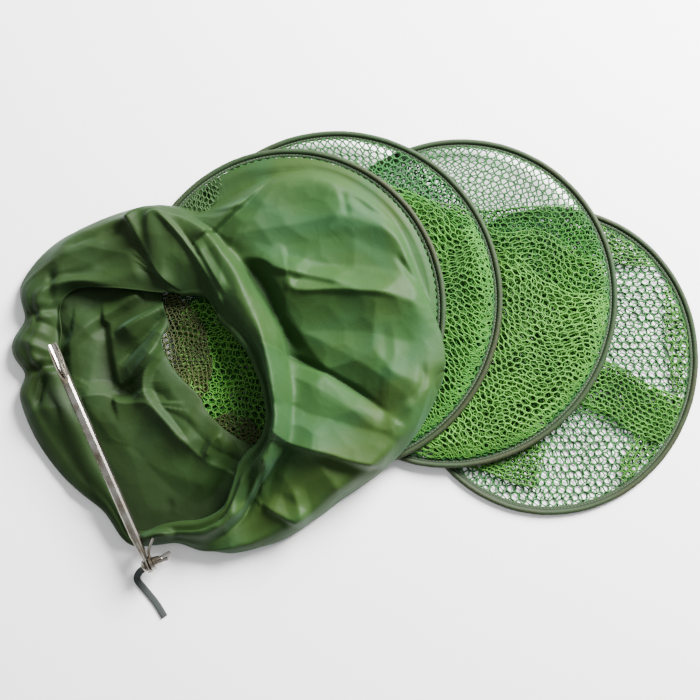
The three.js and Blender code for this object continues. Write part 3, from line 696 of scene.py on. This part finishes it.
mouth = {"x": -135, "y": -22}
collar = {"seat": 4.2, "clear": 2.2, "lift": 7, "columns": 600, "rows": 150, "roll": 4.6, "underShare": 0.5,
          "bigFacet": 67, "bigDepth": 0.17, "smallFacet": 30, "smallDepth": 0.09, "sink": 2.5, "around": 1.01}

# One row for each upright section, at an angle in degrees about the middle of the mouth.
# hem, rim, dip and swell are (reach, height), over is the reach past the seam, throat the pull inward.
sectionParts = ("at", "hem", "rim", "dip", "swell", "over", "throat")
sections = [dict(zip(sectionParts, row)) for row in (
    (0, (44, 46), (58, 60), (78, 30), (205, 47), 20, 6),
    (22, (41, 47), (58, 60), (79, 29), (212, 43), -14, 0),
    (45, (40, 46), (63, 59), (85, 27), (222, 40), -14, 0),
    (67, (44, 42), (79, 55), (99, 26), (204, 34), -16, 0),
    (86, (53, 36), (112, 50), (127, 28), (160, 29), -32, 0),
    (97, (76, 33), (142, 44), (152, 28), (158, 26), -20, 0),
    (106, (82, 31), (158, 40), (166, 30), (172, 25), 10, 2),
    (114, (86, 29), (166, 36), (176, 31), (182, 24), 38, 8),
    (121, (92, 28), (122, 28), (151, 24), (182, 28), 60, 20),
    (128, (100, 27), (126, 27), (154, 22), (184, 27), 81, 30),
    (136, (117, 26), (136, 26), (159, 20), (190, 25), 103, 37),
    (143, (139, 24), (152, 25), (167, 20), (197, 23), 122, 30),
    (150, (167, 15), (178, 25), (190, 20), (208, 19), 136, 22),
    (157, (175, 13), (195, 26), (209, 21), (218, 15), 145, 18),
    (170, (165, 12), (190, 26), (203, 21), (211, 15), 149, 18),
    (180, (156, 11), (182, 25), (197, 20), (205, 14), 148, 18),
    (190, (148, 11), (175, 22), (190, 19), (198, 13), 146, 19),
    (202, (144, 13), (166, 16), (182, 16), (191, 12), 143, 20),
    (214, (148, 11), (164, 13), (177, 13), (185, 10), 138, 21),
    (225, (155, 11), (166, 12), (176, 12), (182, 9), 133, 22),
    (236, (170, 10), (177, 12), (183, 11), (188, 9), 137, 22),
    (244, (180, 10), (186, 12), (191, 10), (195, 8), 140, 22),
    (251, (166, 16), (176, 18), (182, 14), (186, 9), 128, 20),
    (258, (159, 21), (168, 25), (174, 19), (178, 12), 113, 18),
    (266, (153, 27), (164, 33), (174, 23), (182, 15), 113, 17),
    (274, (141, 33), (154, 39), (164, 19), (180, 19), 114, 16),
    (279, (120, 36), (144, 43), (154, 17), (178, 21), 110, 15),
    (284, (102, 38), (131, 47), (142, 17), (177, 23), 104, 14),
    (292, (93, 41), (115, 52), (126, 21), (174, 27), 95, 12),
    (302, (88, 43), (101, 57), (116, 27), (173, 32), 78, 13),
    (315, (77, 45), (90, 62), (107, 34), (172, 38), 58, 14),
    (330, (61, 46), (73, 62), (92, 33), (184, 44), 44, 12),
    (345, (51, 46), (63, 61), (84, 32), (202, 48), 32, 8),
)]

pinches = [{"at": 165, "deep": 13, "wide": 5}, {"at": 181, "deep": 11, "wide": 4},
           {"at": 232, "deep": 5, "wide": 6}]

# Folds of each layer of the cloth: a height, below nought for a crease, the widths on the left and
# right of its line, and the plan points of the line.
folds = {
    "top": [
        (-7, 10, 9, (-295, 103), (-258, 115), (-224, 127)),
        (-7, 5, 5, (-308, -26), (-315, -60)),
        (-7, 7, 7, (-331, 34), (-310, 39), (-290, 44)),
        (-8, 7, 7, (-329, -23), (-305, -18), (-288, -16)),
        (4, 7, 7, (-335, 10), (-311, 0), (-296, -6)),
        (-7, 9, 9, (-322, 30), (-303, 22), (-286, 8)),
        (-4, 6, 6, (-303, 81), (-305, 42)),
        (5, 4, 5, (-202, 145), (-167, 108), (-136, 59), (-119, 20)),
        (10, 44, 4, (-227, 134), (-207, 98), (-190, 71), (-166, 55)),
        (5, 8, 8, (-156, 107), (-134, 69), (-122, 50)),
        (5, 6, 9, (-92, 30), (-82, -6), (-74, -36), (-72, -66)),
        (9, 3, 26, (-58, 192), (-76, 180), (-114, 142), (-141, 117)),
        (4, 8, 4, (-142, 142), (-119, 142), (-104, 148)),
        (-7, 14, 10, (-111, 89), (-89, 66), (-71, 25), (-50, -7)),
        (7, 16, 6, (-113, 93), (-87, 88), (-74, 79), (-55, 74), (-22, 67), (9, 58)),
        (12, 26, 40, (-61, 67), (-54, 56), (-15, 56), (28, 53), (61, 44)),
        (4, 14, 4, (-61, 67), (-54, 56), (-15, 56), (28, 53), (50, 48)),
        (-3.5, 5, 8, (0, 152), (19, 139), (37, 128), (54, 113)),
        (-2, 5, 5, (-8, 159), (-5, 143), (-2, 130)),
        (-5, 5, 5, (45, 93), (63, 68), (83, 42)),
        (-10, 26, 18, (-63, -7), (-38, -18), (-13, -32), (11, -47), (34, -65)),
        (-3, 5, 5, (-63, -7), (-38, -18), (-13, -32), (11, -47), (34, -65)),
        (15, 34, 5, (-67, -91), (-57, -97), (-37, -103), (-18, -108), (-3, -113), (20, -118)),
        (-17, 11, 11, (-87, -110), (-93, -124), (-104, -150), (-112, -165)),
        (6, 8, 14, (-66, -60), (-75, -82), (-79, -108), (-88, -138), (-89, -154)),
        (7, 18, 3, (-89, -154), (-83, -160), (-44, -181)),
        (4, 12, 12, (-57, -138), (-44, -181)),
        (2, 14, 9, (40, 30), (44, -5), (39, -34), (36, -65)),
        (-4, 6, 6, (72, -16), (71, -38), (55, -59)),
        (4, 4, 4, (82, -30), (69, -71), (59, -92)),
        (-3, 6, 6, (-12, 184), (5, 171)),
        (13, 15, 9, (-176, -181), (-201, -187), (-203, -200)),
        (4, 20, 20, (-111, 115), (-50, 125), (-5, 131), (50, 111)),
    ],
    "low": [
        (7, 16, 9, (-288, 3), (-264, 26), (-246, 37), (-218, 53)),
        (7, 34, 8, (-284, 14), (-285, -12), (-281, -44)),
        (-6, 7, 30, (-251, 22), (-247, -8), (-240, -46)),
        (9, 16, 6, (-176, 49), (-216, 28), (-240, 15)),
        (-6, 7, 7, (-186, 39), (-207, 12), (-221, -2), (-234, -17)),
        (11, 4, 20, (-184, 31), (-189, 14), (-196, -1), (-207, -15), (-221, -29), (-235, -38)),
        (-7, 12, 8, (-240, -47), (-226, -45), (-214, -40)),
        (11, 15, 44, (-265, -48), (-248, -47), (-230, -55), (-205, -56), (-189, -69), (-169, -91),
         (-146, -113), (-125, -123)),
        (9, 8, 14, (-190, 2), (-200, -12), (-207, -27), (-208, -42), (-202, -56)),
        (-6, 16, 7, (-198, -34), (-196, -48), (-182, -68), (-160, -95)),
        (-5, 5, 6, (-306, -53), (-305, -103), (-291, -129)),
        (-7, 5, 5, (-308, -26), (-315, -60)),
        (-3, 14, 14, (-287, -94), (-249, -131)),
        (-4, 6, 8, (-180, -152), (-188, -184)),
        (5, 4, 4, (-189, -193), (-189, -179), (-182, -174), (-171, -180)),
        (6, 8, 8, (-146, -113), (-137, -93), (-125, -87)),
        (-8, 18, 14, (-158, -168), (-141, -152), (-126, -128), (-119, -112)),
        (-7, 7, 7, (-331, 34), (-310, 39), (-290, 44)),
        (-8, 7, 7, (-329, -23), (-305, -18), (-288, -16)),
        (4, 7, 7, (-335, 10), (-311, 0), (-296, -6)),
        (-7, 9, 9, (-322, 30), (-303, 22), (-286, 8)),
        (-4, 6, 6, (-303, 81), (-305, 42)),
    ],
}


def groundAt(x, y):  # what lies under the collar, with soft shoulders over each hoop
    height = 0
    for name in ("hoop_1", "hoop_2", "hoop_3"):
        hoop = hoops[name]
        angle = math.atan2(y - hoop["y"], x - hoop["x"])
        off = math.hypot(x - hoop["x"], y - hoop["y"]) - (reachOf(hoop, angle) - sleeve["wide"] / 2)
        inner = 3.3 if name == "hoop_1" else 5
        if off > 0:
            rise = sleeve["tall"] - (planeAt(hoop, x) + sleeve["tall"]) * smoothStep(11, 24, off)
        else:
            rise = sleeve["tall"] - (sleeve["tall"] - inner) * smoothStep(11, 22, -off)
        height = max(height, planeAt(hoop, x) + rise)
    return height


def seamReach(angle):  # from the middle of the mouth to the first hoop's seam
    hoop = hoops["hoop_1"]
    near, far = 0.0, 400.0
    for _ in range(40):
        reach = (near + far) / 2
        x = mouth["x"] + reach * math.cos(angle) - hoop["x"]
        y = mouth["y"] + reach * math.sin(angle) - hoop["y"]
        if math.hypot(x, y) < reachOf(hoop, math.atan2(y, x)) - sleeve["wide"] - net["edgeGap"]:
            near = reach
        else:
            far = reach
    return near


def sectionAt(degrees):
    count = len(sections)
    first = max(k for k in range(count) if sections[k]["at"] <= degrees)
    rows = [sections[(first + k + count) % count] for k in (-1, 0, 1, 2)]
    after = rows[2]["at"] if rows[2]["at"] > rows[1]["at"] else rows[2]["at"] + 360
    t = (degrees - rows[1]["at"]) / (after - rows[1]["at"])
    made = {}
    for key in ("hem", "rim", "dip", "swell"):
        made[key] = [between(*[row[key][k] for row in rows], t) for k in (0, 1)]
    made["over"] = between(*[row["over"] for row in rows], t)
    made["throat"] = max(9, between(*[row["throat"] for row in rows], t))
    return made


def foldHeight(layer, x, y):  # x and y are arrays over the whole sheet
    height = np.zeros_like(x)
    for high, left, right, *line in folds[layer]:
        line = curveThrough([Vector(spot) for spot in line], 4)
        best, along, passed = np.ones_like(x), np.zeros_like(x), 0
        whole = sum(math.dist(a, b) for a, b in zip(line, line[1:]))
        for (x1, y1), (x2, y2) in zip(line, line[1:]):
            dx, dy = x2 - x1, y2 - y1
            run = math.hypot(dx, dy)
            share = np.clip(((x - x1) * dx + (y - y1) * dy) / (run * run), 0, 1)
            off = np.hypot(x - x1 - dx * share, y - y1 - dy * share)
            onLeft = dx * (y - y1) - dy * (x - x1) > 0
            off = off / np.where(onLeft, left, right)
            along = np.where(off < best, (passed + share * run) / whole, along)
            best = np.minimum(best, off)
            passed += run
        thin = left + right < 25  # thin creases die out towards their ends
        fade = np.clip(np.minimum(along, 1 - along) * 5, 0, 1) if thin else 1
        height += high * fade * (1 - best) ** 1.1
    return height


def facets(point, size):  # shallow hollows between straight sharp crests, as in crumpled cloth
    spot = Matrix.Rotation(0.6, 3, "Z") @ point / size
    near = min(noise.voronoi(spot + Vector((0, 0, 0.3)))[0][0], 0.9)
    return near * near * size


# One section's control points: reach, height, each layer's share of folds, and row weight.
def collarRows(degrees):
    angle = math.radians(degrees)
    row = sectionAt(degrees)
    pinch = sum(p["deep"] * math.exp(-(((degrees - p["at"]) / p["wide"]) ** 2)) for p in pinches)
    seam = seamReach(angle)
    turn = seam + row["over"] - pinch
    hem, rim, dip, swell = row["hem"], row["rim"], row["dip"], row["swell"]
    # far is one where the mouth lies open flat
    far = smoothStep(112, 122, degrees) * (1 - smoothStep(246, 258, degrees))

    def mixed(a, b, t, up):
        return a[0] + (b[0] - a[0]) * t, a[1] + (b[1] - a[1]) * t + up

    bulge = min(3, (swell[0] - dip[0]) / 20)
    roll = collar["roll"] * (1 - 0.85 * far)
    made = []
    for step in range(7):
        bend = math.radians(-60 - 35 * step)
        made.append((hem[0] - pinch * 0.3 + roll * math.cos(bend),
                     hem[1] - roll + roll * math.sin(bend), 0, 0, 2.2))
    made.append((hem[0] + roll * 1.5, hem[1] - 1.2 + 0.8 * far, 0.4, 0, 1.5))
    tops = [mixed(hem, rim, 0.5, 3 - 2.5 * far), rim, mixed(rim, dip, 0.6, -1), dip,
            mixed(dip, swell, 0.25, bulge), mixed(dip, swell, 0.5, bulge),
            mixed(dip, swell, 0.75, bulge), swell]
    for (reach, height), drawn in zip(tops, (0.5, 0.7, 0.8, 0.9, 1, 1, 1, 1)):
        made.append((reach - pinch * drawn, height, 1, 0, 1.0))

    def ground(reach):
        return groundAt(mouth["x"] + reach * math.cos(angle), mouth["y"] + reach * math.sin(angle))

    made.append((turn, ground(turn) + collar["clear"] + (3 if row["over"] > 0 else 4), 0, 0, 1.0))
    shares = (0.86, 0.68, 0.5, 0.32, 0.16, 0.04, 0, 0)
    inward = (0.06, 0.14, 0.24, 0.36, 0.5, 0.72, 1, 0.55)
    under = 0.3 + 0.7 * smoothStep(50, 110, row["over"])
    for k, (share, pull) in enumerate(zip(shares, inward)):
        reach = seam + share * (turn - seam) - pull * row["throat"]
        window = math.sin(math.pi * (k + 1) / 9)
        lift = collar["lift"] * window * (row["over"] - 60) / 80 if row["over"] > 60 else 0
        drawn = (0.1, 0.5, 1, 1, 1, 1, 0.9, 0.5)[k]
        made.append((reach, ground(reach) + collar["clear"] + lift, 0, drawn * min(1, window * 1.6), under))
    seamX = mouth["x"] + seam * math.cos(angle)
    made.append((seam, planeAt(hoops["hoop_1"], seamX) + collar["seat"], 0, 0, under))
    return made


def collarSection(degrees, rows):  # evenly laid rows of reach, height and fold shares along one section
    controls = collarRows(degrees)
    last = len(controls) - 1
    fine = []
    for k in range(last):
        picked = [controls[min(max(k + o, 0), last)] for o in (-1, 0, 1, 2)]
        for step in range(6):
            fine.append([between(*[c[n] for c in picked], step / 6) for n in range(5)])
    fine.append(list(controls[-1]))
    line = np.array(fine)
    runs = np.hypot(np.diff(line[:, 0]), np.diff(line[:, 1])) * np.clip(line[1:, 4], 0.2, 3)
    total = np.concatenate(([0], np.cumsum(runs)))
    wanted = np.linspace(0, total[-1], rows + 1)
    return np.stack([np.interp(wanted, total, line[:, n]) for n in range(4)])


def makeCollar():
    columns, rows = collar["columns"], collar["rows"]
    angles = np.arange(columns) * 2 * math.pi / columns
    table = np.stack([collarSection(360 * i / columns, rows) for i in range(columns)])
    reach, z, top, low = (table[:, n, :] for n in range(4))
    x = mouth["x"] + reach * np.cos(angles)[:, None]
    y = mouth["y"] + reach * np.sin(angles)[:, None]
    z = z + np.clip(top, 0, 1) * foldHeight("top", x, y) + np.clip(low, 0, 1) * foldHeight("low", x, y)
    z = np.maximum(z, collar["clear"])
    steps = np.sqrt(np.diff(x, axis=1) ** 2 + np.diff(y, axis=1) ** 2 + np.diff(z, axis=1) ** 2)
    lengths = np.concatenate((np.zeros((columns, 1)), np.cumsum(steps, axis=1)), axis=1)
    bm = bmesh.new()
    bmesh.ops.create_grid(bm, x_segments=columns, y_segments=rows, size=0.5)
    sheetUv = bm.loops.layers.uv.new("cloth")
    spot = [(round((vert.co.x + 0.5) * columns), round((vert.co.y + 0.5) * rows)) for vert in bm.verts]
    bm.verts.index_update()
    for face in bm.faces:
        for loop in face.loops:
            i, k = spot[loop.vert.index]
            loop[sheetUv].uv = (i / columns * collar["around"], lengths[i % columns, k] * mm)
    for vert, (i, k) in zip(bm.verts, spot):
        vert.co = (x[i % columns, k], y[i % columns, k], z[i % columns, k])
    for vert, (i, k) in zip(bm.verts, spot):
        i %= columns
        under = collar["underShare"] * min(max(low[i, k], 0), 1)
        share = min(smoothStep(0, 1, min(top[i, k], 1)) + under + 0.1, 1)
        if lengths[i, k] < 30:
            share *= smoothStep(8, 30, lengths[i, k])
        if share < 0.02 or k > rows - 3:
            continue
        point = vert.co.copy()
        shift = facets(point, collar["bigFacet"]) * collar["bigDepth"] - collar["sink"]
        shift += facets(point + Vector((71, 13, 5)), collar["smallFacet"]) * collar["smallDepth"]
        vert.co = point + Vector((0, 0, shift * share))
    for vert in bm.verts:
        vert.co = place(*vert.co)
    bmesh.ops.remove_doubles(bm, verts=bm.verts, dist=0.00002)
    bmesh.ops.smooth_vert(bm, verts=[vert for vert in bm.verts if not vert.is_boundary], factor=0.5,
                          use_axis_x=True, use_axis_y=True, use_axis_z=True)
    bmesh.ops.recalc_face_normals(bm, faces=bm.faces)
    piece = newPiece("collarSheet", bm, "net", finishes["cloth"])
    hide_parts("collar")
    return piece


makeCollar()
print("stage: collar")


for name in ("stake", "bolt", "wing_nut", "wire_eye"):
    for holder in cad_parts[name].material_slots:
        holder.material = finishes["steel"]
print("stage: steel")


studio = {"floor": (0.95, 0.945, 0.945), "key": 385, "fill": 4, "world": 0.60}


def makeFloor():
    bm = bmesh.new()
    bmesh.ops.create_grid(bm, x_segments=1, y_segments=1, size=4)
    mesh = bpy.data.meshes.new("studioFloor")
    bm.to_mesh(mesh)
    bm.free()
    floor = bpy.data.objects.new("studioFloor", mesh)
    bpy.context.scene.collection.objects.link(floor)
    finish = Finish("paleFloor")
    spot = finish.node("ShaderNodeTexCoord", output="Object")
    faint = finish.node("ShaderNodeTexNoise", None, {"Vector": spot, "Scale": 3.0})
    shade = finish.mix(faint * 0.2, studio["floor"], tuple(0.96 * value for value in studio["floor"]))
    mesh.materials.append(finish.surface({"Base Color": shade, "Roughness": 0.9}))


def makeLight(name, spot, aim, size, power, colour):
    data = bpy.data.lights.new(name, "AREA")
    data.size = size
    data.energy = power
    data.color = colour
    lamp = bpy.data.objects.new(name, data)
    lamp.location = spot
    lamp.rotation_euler = (Vector(aim) - Vector(spot)).to_track_quat("-Z", "Y").to_euler()
    bpy.context.scene.collection.objects.link(lamp)


makeFloor()
makeLight("keyLight", (1.15, 1.35, 1.15), (0, 0, 0), 1.0, studio["key"], (1.0, 0.99, 0.985))
makeLight("fillLight", (-1.2, 0.3, 1.5), (0, 0, 0), 1.2, studio["fill"], (1.0, 0.97, 0.92))
world = bpy.data.worlds.new("studio")
world.use_nodes = True
world.node_tree.nodes["Background"].inputs["Color"].default_value = (0.96, 0.98, 1.0, 1)
world.node_tree.nodes["Background"].inputs["Strength"].default_value = studio["world"]
bpy.context.scene.world = world
print("stage: floor and light")
